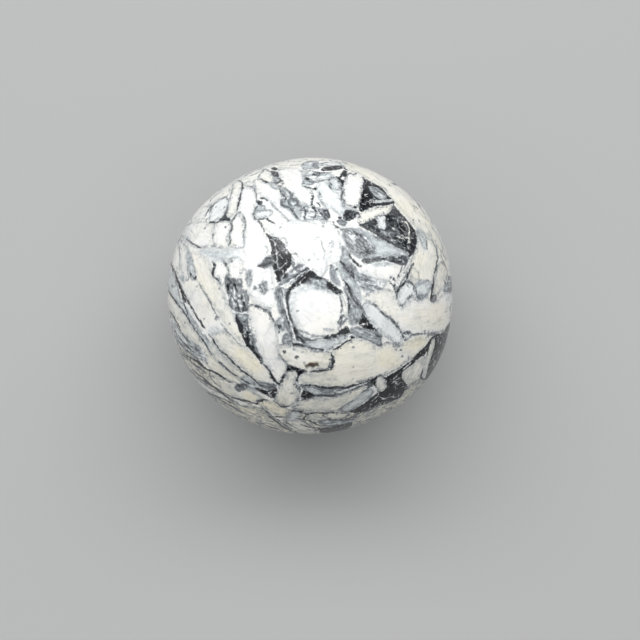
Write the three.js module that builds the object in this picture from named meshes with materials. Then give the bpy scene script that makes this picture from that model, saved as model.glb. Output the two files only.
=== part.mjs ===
// A polished pinolite stone: one piece of rock, ground and polished by hand to a ball.
// It is a little out of round and stands on a small flat that is ground into its underside.
// Millimetres, +Z up. The origin is the middle of the resting flat's height, under the middle of the stone.
import * as THREE from "three";
import { mergeVertices } from "three/addons/utils/BufferGeometryUtils.js";

// Driving dimensions of the ball before its flat is ground, in mm.
const LENGTH = 72.8; // along the ball's long axis
const BREADTH = 70.4; // across it, level
const FULL_HEIGHT = 67.2; // upright, crown to the south pole
const LONG_AXIS_HEADING = 4.6; // degrees from +X, anticlockwise from above

// The flat that it stands on.
const FLAT_DEPTH = 1.2; // how much of the south pole is ground away
const FLAT_ROUNDING = 0.5; // how softly the flat runs out into the ball

// Gentle swellings that the grinding left round the girth: how many, how high and where the first one is.
const SWELLINGS = [
  { count: 3, height: 0.09, heading: 54.0 },
  { count: 4, height: 0.21, heading: -34.5 },
  { count: 5, height: 0.14, heading: 27.0 },
  { count: 6, height: 0.11, heading: 28.5 },
];

// Hand-ground facets too slight to see but for the way they bend a reflection.
const FACET_HEIGHT = 0.06;
const FACETS_PER_TURN = new THREE.Vector3(5.0, 6.0, 5.5);

// Each face of the icosahedron that the ball is made from is split this many times.
const FACE_SPLITS = 17;

const STONE_COLOUR = 0xcfcdc4;
const STONE_ROUGHNESS = 0.16;

// Distance from the middle of the ball to its surface in one direction, before the flat is ground.
function ballRadius(direction) {
  const turned = direction
    .clone()
    .applyAxisAngle(new THREE.Vector3(0, 0, 1), -THREE.MathUtils.degToRad(LONG_AXIS_HEADING));
  const reach = Math.hypot(
    turned.x / (LENGTH / 2),
    turned.y / (BREADTH / 2),
    turned.z / (FULL_HEIGHT / 2),
  );
  const heading = Math.atan2(direction.y, direction.x);
  const girth = Math.hypot(direction.x, direction.y);
  let radius = 1 / reach;
  for (const { count, height, heading: first } of SWELLINGS) {
    const phase = count * (heading - THREE.MathUtils.degToRad(first));
    radius += height * girth ** count * Math.cos(phase);
  }
  const facets =
    Math.sin(FACETS_PER_TURN.x * direction.x + 1) *
    Math.sin(FACETS_PER_TURN.y * direction.y + 2) *
    Math.sin(FACETS_PER_TURN.z * direction.z);
  return radius + FACET_HEIGHT * facets;
}

// The smaller of two lengths, with a soft change from one to the other.
function softSmaller(a, b, softness) {
  const overlap = Math.max(softness - Math.abs(a - b), 0) / softness;
  return Math.min(a, b) - (overlap * overlap * softness) / 4;
}

// The ball with its flat: where the plane of the flat is nearer than the ball's own surface, the plane wins.
function stoneRadius(direction) {
  const radius = ballRadius(direction);
  if (direction.z >= 0) return radius;
  const planeDistance = (FULL_HEIGHT / 2 - FLAT_DEPTH) / -direction.z;
  return softSmaller(radius, planeDistance, FLAT_ROUNDING);
}

function makeStone() {
  const geometry = new THREE.IcosahedronGeometry(1, FACE_SPLITS);
  geometry.deleteAttribute("normal");
  geometry.deleteAttribute("uv");
  const merged = mergeVertices(geometry, 1e-5);
  const position = merged.getAttribute("position");
  const direction = new THREE.Vector3();
  for (let i = 0; i < position.count; i++) {
    direction.fromBufferAttribute(position, i).normalize();
    const point = direction.clone().multiplyScalar(stoneRadius(direction));
    position.setXYZ(i, point.x, point.y, point.z);
  }
  merged.computeBoundingBox();
  const { min, max } = merged.boundingBox;
  merged.translate(-(min.x + max.x) / 2, -(min.y + max.y) / 2, -min.z);
  merged.computeVertexNormals();
  const material = new THREE.MeshStandardMaterial({
    color: STONE_COLOUR,
    roughness: STONE_ROUGHNESS,
    metalness: 0,
  });
  const stone = new THREE.Mesh(merged, material);
  stone.name = "pinolite_stone";
  return stone;
}

const pinolite = new THREE.Group();
pinolite.add(makeStone());

export default pinolite;
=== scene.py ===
"""A polished ball of pinolite: pale magnesite blades grown through black graphite, ground by hand."""

import logging
import math
from collections.abc import Iterable, Iterator
from dataclasses import dataclass, field
from enum import Enum

import bpy
import numpy as np
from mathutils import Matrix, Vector


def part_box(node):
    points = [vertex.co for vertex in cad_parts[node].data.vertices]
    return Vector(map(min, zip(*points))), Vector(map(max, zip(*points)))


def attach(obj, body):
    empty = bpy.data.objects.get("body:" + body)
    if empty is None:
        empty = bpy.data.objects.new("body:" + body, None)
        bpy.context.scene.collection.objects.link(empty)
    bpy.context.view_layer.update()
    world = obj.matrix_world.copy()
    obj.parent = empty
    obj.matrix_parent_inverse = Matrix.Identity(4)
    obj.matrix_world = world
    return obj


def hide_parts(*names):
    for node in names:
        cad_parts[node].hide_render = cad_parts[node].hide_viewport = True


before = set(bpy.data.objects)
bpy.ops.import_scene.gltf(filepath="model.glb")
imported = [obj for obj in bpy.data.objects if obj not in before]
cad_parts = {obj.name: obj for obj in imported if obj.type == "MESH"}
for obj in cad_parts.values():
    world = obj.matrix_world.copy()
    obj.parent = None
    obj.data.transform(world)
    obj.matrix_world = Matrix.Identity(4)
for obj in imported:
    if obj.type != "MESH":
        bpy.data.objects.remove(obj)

log = logging.getLogger("pinolite")

MM = 0.001
NODE = "pinolite_stone"
SLOT = "polished_pinolite"
Points = np.ndarray


class Mineral(Enum):
    """What the polish shows inside one outline: (tone, warmth, mottling, veinlets).

    Tone runs from 0, black graphite, to 1, white magnesite. Warmth runs from -1, blue, through 1, honey, to
    3, rust. Mottling is how much the grains show. Veinlets below 0 are darker than what they run through.
    """

    SNOW = (0.985, 0.0, 0.06, 0.0)
    PEPPER = (0.52, -0.2, 1.5, 0.1)
    MILK = (0.96, 0.2, 0.08, 0.0)
    CREAM = (0.955, 0.5, 0.12, 0.0)
    HONEY = (0.97, 1.0, 0.16, 0.0)
    DOVE = (0.90, 0.5, 0.22, 0.0)
    TAN = (0.80, 1.0, 0.9, -0.25)
    ICE = (0.95, -0.45, 0.12, 0.0)
    FROST = (0.83, -0.5, 0.3, 0.0)
    STEEL = (0.64, -0.5, 1.0, 0.0)
    PUMICE = (0.72, -0.3, 1.2, 0.1)
    ASH = (0.54, -0.15, 1.0, 0.0)
    SMOKE = (0.30, -0.2, 1.0, 0.35)
    UMBER = (0.30, 0.5, 0.9, 0.3)
    GRAPHITE = (0.04, -0.1, 1.0, 0.7)
    RUST = (0.45, 2.8, 1.0, 0.0)

    @property
    def tone(self) -> float:
        """How pale it is."""
        return self.value[0]

    @property
    def finish(self) -> Points:
        """Its warmth, mottling and veinlets."""
        return np.array(self.value[1:])


@dataclass(frozen=True)
class Patch:
    """A closed outline on the polished face, traced in picture pixels: blur is in millimetres."""

    mineral: Mineral
    trace: str
    seam: float = 0.6
    blur: float = 0.3


@dataclass(frozen=True)
class Stroke:
    """A thin line along traced points, its width in pixels: ink 1 is graphite, ink 0 white calcite."""

    trace: str
    width: float = 1.2
    strength: float = 0.8
    ink: float = 1.0


@dataclass(frozen=True)
class Dots:
    """Small round spots, each at one traced point, their radius in pixels."""

    mineral: Mineral
    trace: str
    radius: float = 1.8


def crack(trace: str, width: float = 1.2, strength: float = 0.8) -> Stroke:
    """A graphite seam."""
    return Stroke(trace, width, strength, 1.0)


def vein(trace: str, width: float = 1.2, strength: float = 1.0) -> Stroke:
    """A white veinlet."""
    return Stroke(trace, width, strength, 0.0)


Mark = Patch | Stroke | Dots
SNOW, MILK, CREAM, HONEY = Mineral.SNOW, Mineral.MILK, Mineral.CREAM, Mineral.HONEY
ICE, FROST, STEEL, PUMICE = Mineral.ICE, Mineral.FROST, Mineral.STEEL, Mineral.PUMICE
ASH, SMOKE, UMBER, GRAPHITE, RUST = Mineral.ASH, Mineral.SMOKE, Mineral.UMBER, Mineral.GRAPHITE, Mineral.RUST
DOVE, TAN, PEPPER = Mineral.DOVE, Mineral.TAN, Mineral.PEPPER

BROAD: tuple[Mark, ...] = (
    Patch(SNOW, "242,190 247,188 253,189 256,193 257,200 255,207 254,214 258,220 264,229 266,240 268,255"
                " 271,270 275,285 276,300 270,308 262,306 252,300 248,286 245,270 243,256 244,247 245,232"
                " 244,221 240,213 238,208 240,198", 0.45),
    Patch(SNOW, "254,179 262,181 270,184 277,187 281,192 282,200 285,206 291,210 295,215 298,220 292,223"
                " 285,218 278,211 271,204 262,196 256,189", 0.5),
    Patch(SNOW, "278,168 290,168 300,169 303,176 306,184 311,190 313,198 311,206 307,210 303,206 298,200"
                " 294,196 288,192 283,186 280,178", 0.5),
    Patch(PUMICE, "280,186 285,190 291,194 296,199 303,206 303,214 300,221 296,219 290,211 284,207 281,203"
                  " 283,197", 0.3, 0.6),
    Patch(MILK, "172,241 180,233 190,227 199,222 208,222 214,236 214,248 201,249 190,244 180,241", 0.3),
    Patch(CREAM, "190,252 200,254 208,260 211,268 213,277 219,284 225,296 231,310 237,322 244,334 252,346"
                 " 258,357 250,351 240,341 230,330 222,319 214,308 206,296 198,282 192,268", 0.3),
    Patch(ICE, "208,329 214,326 222,330 232,340 240,348 246,354 238,352 228,346 220,342 213,337", 0.2),
    Patch(ASH, "300,385 312,386 324,388 336,387 350,386 362,383 372,378 376,384 366,390 352,394 340,397"
               " 326,398 312,399 302,404 296,407 298,398 299,391", 0.2),
    Patch(TAN, "288,409 300,411 320,412 340,412 362,407 374,412 364,424 348,434 330,438 310,440 294,438"
               " 282,432 284,418", 0.3),
    Patch(ASH, "276,288 281,286 287,291 290,302 292,314 295,324 300,332 306,338 307,347 299,346 292,339"
               " 287,330 282,320 279,308 277,298", 0.3, 0.4),
    Patch(CREAM, "166,254 172,262 177,278 184,290 190,303 182,300 174,290 166,276", 0.4),
    Patch(TAN, "178,340 190,352 202,364 214,376 226,386 238,394 246,400 232,398 216,392 200,382 186,366"
               " 176,352", 0.2),
    Patch(DOVE, "286,421 300,420 308,424 316,430 322,433 305,434 292,431", 0.6),
    Patch(FROST, "287,418 292,412 299,412 301,415 297,420 290,421", 0.7),
    Patch(DOVE, "323,415 332,412 345,413 349,415 340,419 328,418", 0.7),
    Patch(STEEL, "318,421 332,420 346,420 356,416 352,422 340,426 326,426", 0.6),
    Patch(SNOW, "408,258 411,262 409,268 405,276 400,285 396,290 395,284 400,276 405,268", 0.7),
)

SHEAF: tuple[Mark, ...] = (
    Patch(FROST, "171,262 175,275 178,288 181,300 186,308 192,317 199,328 206,337 213,347 221,356 228,362"
                 " 234,367 222,363 213,355 205,344 197,331 189,319 181,308 174,300 169,290 166,278"
                 " 166,268", 0.6),
    Patch(DOVE, "164,292 169,292 177,304 188,318 196,331 204,343 212,355 222,363 232,371 242,379 252,388"
                " 246,392 236,388 226,382 212,372 204,360 196,350 188,342 180,334 172,320 166,306", 0.3),
    Patch(PUMICE, "170,318 178,328 186,336 196,344 204,350 208,358 203,362 194,356 184,349 176,340"
                  " 168,328", 0.0, 1.2),
    Patch(CREAM, "226,332 234,340 244,349 252,355 260,363 270,374 273,382 266,386 258,382 248,372 238,364"
                 " 230,357 222,350 214,340 212,333", 0.4),
    Patch(HONEY, "238,348 250,352 260,362 266,370 256,372 244,366 236,358", 0.0, 2.0),
    Patch(DOVE, "212,340 220,351 228,359 236,366 245,373 253,380 260,388 256,391 248,386 240,380 232,374"
                " 224,366 216,359 208,348", 0.3),
    Patch(FROST, "244,376 252,380 259,386 262,391 255,391 247,387 240,381", 0.3),
    Patch(ASH, "255,381 262,382 270,383 277,385 277,390 270,391 263,388 258,385", 0.2),
    Patch(GRAPHITE, "254,387 262,389.5 270,391 276,388 279,391 278,396 273,398 266,395 259,392", 0.0),
    Patch(TAN, "184,356 192,362 202,369 210,375 214,382 222,388 214,387 204,382 196,377 188,368"
               " 180,358", 0.2),
    Patch(DOVE, "222,378 234,382 244,388 256,393 262,398 254,402 244,401 232,397 222,392 212,386 206,378"
                " 214,376", 0.4),
    Patch(TAN, "190,378 204,388 216,396 228,401 240,405 252,406 262,408 270,415 280,422 290,430 300,437"
               " 280,437 258,430 236,420 216,408 200,396 188,384", 0.4),
    Patch(HONEY, "258,403 264,401 273,402 279,406 286,408 287,413 284,416 277,415 270,411 264,407", 0.6),
    Patch(SNOW, "199,335 203,331 208,327 210,326 208,331 205,334 201,336", 0.0),
    crack("171,262 174,270 177,278 180,286", 3, 1.0),
    crack("176,276 179,284 182,293 186,302", 4.5, 1.0),
    crack("166,287 170,293 175,300 180,307", 1.6, 0.8),
    crack("199,283 204,292 208,298 213,308 219,320", 1.5, 0.45),
    crack("180,284 183,292 188,301 194,312 201,323 206,330", 2.2, 0.95),
    crack("208,333 213,340 219,349 226,355 234,363 241,370 249,375 256,382 263,389", 1.8, 0.85),
    crack("168,291 173,298 177,304 183,311 188,319 191,324 196,331 201,338 205,344 210,352"
          " 213,356", 1.7, 0.8),
    crack("181,292 183,298 184,304 187,312 189,319", 2, 0.6),
    crack("218,361 223,365 228,370 232,373 240,378", 1.6, 0.75),
    crack("170,311 174,317 177,323 180,328", 2.6, 0.95),
    crack("219,322 224,327 230,334 237,341 244,347 251,353", 1.4, 0.5),
    crack("236,316 240,326 243,334", 4, 1.0),
    crack("243,334 247,342 251,348 255,353 259,358 262,364", 3, 1.0),
    crack("262,364 267,367 270,372 272,378 275,382", 2, 0.85),
    crack("179,351 186,357 192,362 199,368 206,373", 2, 0.7),
    crack("192,360 199,362 204,367 209,371 211,378 215,383 222,388", 1.7, 0.7),
    crack("195,376 199,380", 2, 0.7),
    crack("202,380 207,383 213,387 220,391 228,395", 2, 0.8),
    crack("232,398 240,400 247,403 252,405", 1.6, 0.75),
    crack("209,393 216,396 224,399 230,402 235,405", 1.8, 0.7),
    crack("224,405 231,409 238,413", 1.5, 0.5),
    crack("256,402 262,399.5 270,400.5", 1.8, 0.6),
    crack("261,406 266,411 271,415 275,418 281,422 290,428 293,430", 1.6, 0.7),
    crack("274,416 280,417 286,417", 2, 0.85),
    crack("273,400 277,403 280,406 286,407 290,406", 1.6, 0.7),
    crack("259,421 266,425 274,428 284,431", 1.8, 0.7),
    Patch(PEPPER, "234,388 237,385 241,387 245,385 243,389 240,391 236,391", 0.0),
    crack("240,378 246,382 252,385", 1.8, 0.7),
    crack("196,377 205,381 215,388 228,397 240,405", 1.7, 0.7),
    crack("186,366 194,374 202,380", 1.6, 0.6),
    crack("166,300 170,312 176,324 184,336 192,345", 1.5, 0.6),
    crack("176,338 184,348 194,356 204,366", 1.5, 0.65),
    crack("208,398 218,404 230,412 244,420 256,427", 1.6, 0.6),
    crack("214,404 226,414 238,421", 1.6, 0.5),
    vein("233,336 240,343 246,349 253,354", 2, 0.8),
    Dots(ASH, "207,363 204,353 179.5,327 236,388 238,391 243,386", 1.6),
    Dots(ASH, "191,276 195,272 195,278 207,297 204,319 216,317", 1.4),
    crack("182,352 189,357 196,361 206,369 214,372 221,376 231,383", 2.4, 0.9),
    crack("192,369 198,374 203,378 209,383 214,387 224,395 235,403", 2.8, 0.95),
    crack("203,390 214,395 222,401 231,406 243,413", 2.2, 0.85),
    crack("231,397 238,399 245,400.5 256,403.5 265,399", 2.2, 0.85),
    crack("244,418 256,425 270,432 284,436", 2.4, 0.85),
    crack("267,415 276,421 285,428 299,433", 2.4, 0.9),
    crack("172,326 177,334 184,343 190,349", 2.0, 0.8),
    Patch(SMOKE, "235,386 243,383 249,386 244,390 238,391", 0.0, 0.6),
    Patch(HONEY, "243,391 250,392 257,398 252,402 244,398", 0.0, 1.2),
)

NORTH_WEST: tuple[Mark, ...] = (
    Patch(MILK, "180,232 190,218 202,203 214,193 226,185 234,182 232,190 229,195 222,198 213,203 207,211"
                " 204,218 198,222 188,226", 0.3),
    Patch(MILK, "186,226 198,222 206,222 213,224 213,236 215,246 202,248 192,246 186,238 180,236", 0.4),
    Patch(ICE, "210,222 209,216 211,209 214,204 220,200 226,197 229,202 227,209 223,216 217,220"
               " 213,222", 1.0),
    Patch(SNOW, "205,217 207,212 209,209 209,214 208,218", 0.0, 0.4),
    Patch(MILK, "233,188 234,183 237,181 241,182 242,188 240,197 238,205 236,211 232,216 228,217 226,213"
                " 228,207 230,198", 0.9),
    Patch(SMOKE, "219,219 223,217 225,212 227,216 230,218 230,221 225,221 220,221", 0.0),
    Patch(SNOW, "216,223 222,221 230,222 231,230 228,240 229,248 216,247 213,236 214,228", 0.7),
    Patch(SNOW, "238,212 243,217 245,224 244,234 243,247 230,247 229,238 231,230 231,222 234,217", 0.7),
    # Painted reflection: this blue-grey band, with a straight top and right side, marks where a window's
    # reflection ends on the polish, so the face above and to the right of it reads brighter.
    Patch(FROST, "197,250 218,249 240,249 241,262 235,258 225,262 214,260 207,256", 0.0, 0.9),
    Patch(MILK, "178,241 181,252 180,264 179,275 174,268 170,260 172,250", 0.5),
    Patch(MILK, "180,240 186,248 187,260 189,278 184,279 181,272 180,256", 0.6),
    Patch(FROST, "187,246 191,254 194,266 196,279 191,279 189,268 187,256", 0.4),
    Patch(SNOW, "216,262 222,260 228,268 228,276 222,285 218,279 213,277 214,266", 0.7),
    Patch(SNOW, "229,260 236,258 242,262 242,276 238,281 231,279 228,270", 0.5),
    Patch(PEPPER, "226,274 229,279 233,278 237,280 241,279 243,285 242,292 247,291 249,300 248,312 249,324"
                  " 253,336 258,347 263,358 263,364 257,357 249,346 243,336 238,325 234,312 229,305 229,296"
                  " 225,288", 0.2),
    Patch(STEEL, "237,315 243,313 249,315 248,321 243,324 239,321", 0.4),
    Patch(PEPPER, "227,274 230,277 233,283 236,284 240,283 240,289 236,292 238,298 234,300 231,294"
                  " 229,284", 0.0, 0.7),
    Dots(SNOW, "232,290 239,296 244,300 234,304 241,306 245,287", 1.5),
    Patch(GRAPHITE, "237,318 242,324 244,333 248,342 252,349 247,346 241,334 238,326", 0.0),
    Patch(GRAPHITE, "245,334 248,336 249,342 246,343", 0.0),
    vein("232,310 237,313 243,313 248,312", 2.5),
    vein("246,326 248,331", 1.5),
    vein("248,334 253,334", 1.5),
    crack("242,182 243,189", 2.8, 1.0),
    crack("241,192 240,199 238,205 237,211", 2.2, 0.85),
    crack("237,213 235,217 231,222", 2, 0.7),
    crack("230,222 232,226 231,230 229,234", 1.6, 0.6),
    crack("239,212 243,216 245,222 244,231 243,238", 1, 0.3),
    crack("212,205 209,209 207,213 205,217", 2, 0.8),
    crack("209,222 214,223 218,222 221,220", 2, 0.85),
    crack("232,182 236,180.5 240,180.5 243,183", 1.6, 0.7),
    crack("212,261 215,266 213,272 214,277 219,281", 2, 0.75),
    crack("190,273 194,279 197,276", 2.2, 0.8),
    crack("186,239 191,242 196,246 201,248", 1.6, 0.7),
    crack("228,247 230,240 229,234", 1.4, 0.4),
    Patch(FROST, "178,276 184,276 184,283 180,280", 0.2),
    crack("223,262 228,268 229,276", 1.6, 0.5),
    Dots(SMOKE, "207,219 205,228 225,227.5", 1.7),
    Dots(ASH, "223,194 219,199 225,197 216,207", 1.5),
)

NORTH: tuple[Mark, ...] = (
    Patch(MILK, "236,180 243,177 252,172 262,168 263,170 255,174 248,177 242,180", 0.4),
    Patch(MILK, "258,177 263,171 266,169 269,172 272,177 275,181 276,185 270,183 264,181 260,179", 0.8),
    Patch(GRAPHITE, "271,168 274,167 277,168 277,170 273,170", 0.0),
    Patch(SMOKE, "271,171 277,172 279,176 277,178 273,176", 0.5),
    Patch(FROST, "274,177 278,177 280,180 278,183 275,182", 1.0),
    Patch(FROST, "270,182 276,183 279,187 277,190 272,187", 0.5),
    Patch(FROST, "282,200 287,200 290,204 289,207 284,206", 0.8),
    Patch(STEEL, "290,199 295,198 298,202 297,206 292,207 289,203", 0.7),
    Patch(ICE, "293,207 298,205 302,208 303,214 298,219 295,213", 0.8),
    Patch(FROST, "302,203 309,206 311,213 308,220 301,220 304,213", 0.6),
    Patch(SMOKE, "257,200 262,201 263,205 258,205", 0.0),
    Patch(FROST, "255,206 260,205 264,206 264,210 256,210", 0.6),
    Patch(ICE, "256,211 264,210 272,211 270,215 264,218 258,218 255,215", 0.6),
    Patch(MILK, "244,183 250,181 254,186 247,187", 0.5),
    Patch(FROST, "302,166 304,163 310,161 317,161 318,168 309,169 303,169", 0.8),
    Patch(STEEL, "311,164 316,162 317,168 313,167", 0.0),
    Patch(SNOW, "319,164.5 326,162.5 341,163 340,165.5 326,166", 0.8),
    Patch(GRAPHITE, "320,170 325,167 333,166 341,165.5 343,168 336,170 326,171", 0.0),
    Patch(GRAPHITE, "343,167 346,168 350,170 346,170", 0.0),
    Patch(PUMICE, "302,172 312,172 322,172 332,174 336,178 332,181 322,181 314,184 306,188 301,184"
                  " 304,178", 0.0),
    Patch(ICE, "320,175 330,175 331,178 322,180 317,179", 0.4),
    Patch(FROST, "305,180 311,180 312,184 305,184", 0.5, 0.5),
    Patch(SMOKE, "312,174 320,173 320,176 313,176", 0.0),
    Patch(SMOKE, "305,177 311,178 309,180 305,179", 0.0),
    Patch(ICE, "319,182 327,181 330,187 335,191 341,193 343,202 345,212 343,219 338,213 332,209 326,208"
               " 322,202 318,196 316,189", 0.5),
    Patch(FROST, "329,180 332,177 337,178 341,183 342,189 339,190 333,190 330,186", 0.9),
    Patch(PUMICE, "296,208 305,206 312,207 320,208 328,209 330,217 326,221 312,221 300,221 297,216", 0.0),
    Patch(SMOKE, "323,210 328,210 330,216 327,218 324,214", 0.4),
    Patch(GRAPHITE, "336,176 339,177 343,171 347,171 347,176 344,178 345,184 342,186 340,181 337,179", 0.0),
    Patch(SNOW, "341,177 345,177 344,180 341,179", 0.0),
    Patch(SNOW, "344,182 346,177 350,173 354,175 358,172 362,175 364,181 362,190 361,198 359,204 355,208"
                " 349,206 345,203 343,195", 0.9),
    Patch(FROST, "342,202 346,206 351,209 358,209 360,211 353,212 346,210 343,207", 0.5),
    Patch(SMOKE, "345,211 350,210 355,211 358,212 356,217 351,220 346,222 343,219", 0.0),
    Patch(ASH, "336,220 343,219 348,222 345,226 339,225", 0.0),
    crack("250,176 255,174 261,171 267,168", 1.9, 0.85),
    crack("260,178.5 264,181 269,183", 1.8, 0.8),
    crack("280,187 280,191 282,193.5 285,196 286,199 283,201", 1.6, 0.7),
    crack("285,189 289,191 292,195 294,198", 1.2, 0.6),
    crack("281,199 281,204 285,206.5 290,208 293,212 297,217 299,219", 1.1, 0.65),
    crack("246,186 252,187 256,192 256,199 257,203", 1.5, 0.6),
    crack("258,206 255,209 254,213 255,217 259,222 263,228 265,232", 1.6, 0.6),
    crack("260,197.5 264,198.5 268,201", 1.8, 0.8),
    crack("257,219 266,219 271,221 275,224", 1.8, 0.8),
    crack("271,203 277,209 283,215 291,222", 1.2, 0.35),
    crack("316,161 325,160 334,161 341,163", 1.3, 0.6),
    crack("319,191 322,198", 1.3, 0.5),
    crack("300,171 312,171 322,173 332,172", 1.6, 0.7),
    crack("304,178 310,182 318,182 326,179", 1.5, 0.6),
    crack("301,186 308,187 314,190", 1.6, 0.6),
    crack("303,206 306,212 304,219", 1.8, 0.7),
    crack("312,206 316,212 314,220", 1.8, 0.75),
    crack("318,209 322,215 328,221", 1.8, 0.75),
    vein("304,209 309,208 309,214 306,218", 1.4),
    vein("286,192 289,197 286,201", 1.4, 0.9),
    vein("302,184 310,186 318,183 324,181", 1.5, 0.9),
    crack("313,195 312,202 312,206", 2.2, 0.8),
    crack("317,202 320,207", 2.4, 0.7),
    crack("342,180 342,186 342,195 341,201", 2, 0.55),
    crack("333,221 336,226 340,228 343,230", 2, 0.8),
    Dots(SMOKE, "282,181 283,183.5 279.5,186 284.5,189", 1.5),
    Dots(GRAPHITE, "315,189 312,205 340,218 358,213 355,207", 1.8),
)

NORTH_EAST: tuple[Mark, ...] = (
    Patch(CREAM, "344,158 360,164 375,170 390,179 405,191 418,205 430,222 440,240 447,260 450,280 445,268"
                 " 440,257 436,247 430,238 424,233 415,226 409,219 402,211 395,203 391,198 386,191 378,186"
                 " 367,179 361,174 350,171 343,165", 0.3),
    Patch(GRAPHITE, "364,179 368,180 375,184 382,188 387,194 392,199 394,203 388,205 376,206 368,209"
                    " 361,212 359,208 361,198 363,188", 0.0),
    Patch(STEEL, "369,186 375,187 382,191 387,196 385,199 379,199 374,195 370,190", 0.2),
    Patch(FROST, "371,203 374,200 384,199.5 393,199 391,202 381,203", 0.2),
    Patch(UMBER, "393,204 397,209 402,214 408,221 414,229 417,238 416,247 413,254 408,256 402,250 394,246"
                 " 386,242 378,236 368,230 360,226 360,223 368,221 376,218 386,215 391,210", 0.0),
    Patch(GRAPHITE, "385,216 390,216 394,220 388,222 386,220", 0.0),
    Patch(GRAPHITE, "410,226 414,229 417,238 415,250 412,250 410,244 412,236 411,230", 0.0),
    Patch(GRAPHITE, "398,222 404,226 407,232 402,234 397,228", 0.0),
    Patch(GRAPHITE, "404,239 408,240 407,248 402,246", 0.0),
    Patch(MILK, "357,222 358,218 361,213 367,210 376,208 386,206 391,205 391,209 388,213 381,216 374,219"
                " 367,222 361,224", 0.8),
    Patch(ICE, "376,217 380,216 385,217 386,223 386,229 379,229 377,223", 0.6),
    Patch(ASH, "380,230 386,231 388,236 384,236", 0.0),
    Patch(FROST, "343,227 352,227 361,229 370,234 378,238 386,241 394,246 401,250 409,253 408,257 396,257"
                 " 380,257.5 362,258 354,254 347,247 344,238", 0.8),
    Patch(PEPPER, "342,228 352,229 360,232 368,238 374,246 375,253 368,257 358,256 350,251"
                  " 345,243", 0.0, 1.6),
    Patch(SMOKE, "366,249 374,247 375,253 370,255 364,254", 0.0, 0.8),
    Patch(SMOKE, "362,258 380,257.5 396,257 407,256 407,264 400,265 390,262 378,263 368,265 363,262", 0.2),
    Patch(SNOW, "361,267 366,264 374,263 386,262 396,264 403,268 403,274 397,279 388,279 378,277 369,274"
                " 362,271", 0.2),
    Patch(FROST, "372,262 386,261 394,264 386,266 374,266", 0.0),
    Patch(PUMICE, "354,270 362,272 370,276 380,279 387,280 384,288 378,293 368,293 360,289"
                  " 355,281", 0.1, 1.0),
    Patch(CREAM, "417,229 422,232 429,239 436,249 437,262 435,275 432,286 427,295 420,300 416,297 414,288"
                 " 409,281 407,272 411,262 414,255 417,247", 0.6),
    Patch(FROST, "417,228 421,231 426,238 427,249 423,249 420,240", 0.3),
    Patch(FROST, "415,283 422,280 431,282 431,289 427,296 421,300 417,298 415,290", 0.6),
    Patch(DOVE, "409,270 414,268 419,273 418,280 411,280", 0.4),
    Patch(STEEL, "417,297 421,294 425,296 423,301 418,300", 0.4),
    Patch(DOVE, "438,264 443,263 447,271 447,279 443,288 438,295 434,302 432,297 434,285 436,274", 0.8),
    Patch(STEEL, "449,276 446,284 443,291 447,293 454,290 454,278", 0.0),
    Patch(ICE, "396,293 400,288 404,283 409,281 414,286 416,294 411,296 407,301 403,307 399,304"
               " 397,298", 0.9),
    vein("401,221 406,222 409,228 409,236 409,244", 2.4),
    vein("396,236 402,238 409,238", 2),
    vein("390,240 397,240", 1.5),
    vein("399,226 402,230 406,232", 1),
    Patch(ASH, "430,298 433,294 437,297 434,303 430,302", 0.4),
    vein("336,223 342,228 350,227 360,228", 2.5),
    vein("411,258 407,266 403,273 400,282", 1.5, 0.9),
    crack("404,262 401,270 397,279", 1.6, 0.6),
    Dots(SNOW, "394,229", 1.8),
    crack("412,204 419,210", 1.8, 0.6),
    crack("370,205 380,204 394,202.5", 2.5, 1.0),
    crack("413,248 411,253 409,257", 3, 1.0),
    crack("414,262 411,268 408,275 405,282 400,288 396,294", 2, 0.8),
    crack("395,283 394,288 396,293 397,300", 1.6, 0.6),
    crack("388,281 393,285 395,290", 1.6, 0.6),
    crack("430,238 434,244 437,250", 1.5, 0.6),
    crack("436,249 438,257 436,266 434,276", 2, 0.75),
    crack("434,276 433,284 432,292 431,301", 3.2, 1.0),
    crack("427,240 427,250", 1.5, 0.5),
    crack("440,253 444,262 448,272", 1.5, 0.6),
    Dots(SMOKE, "391,277 394,279 408,274", 1.8),
)

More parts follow.
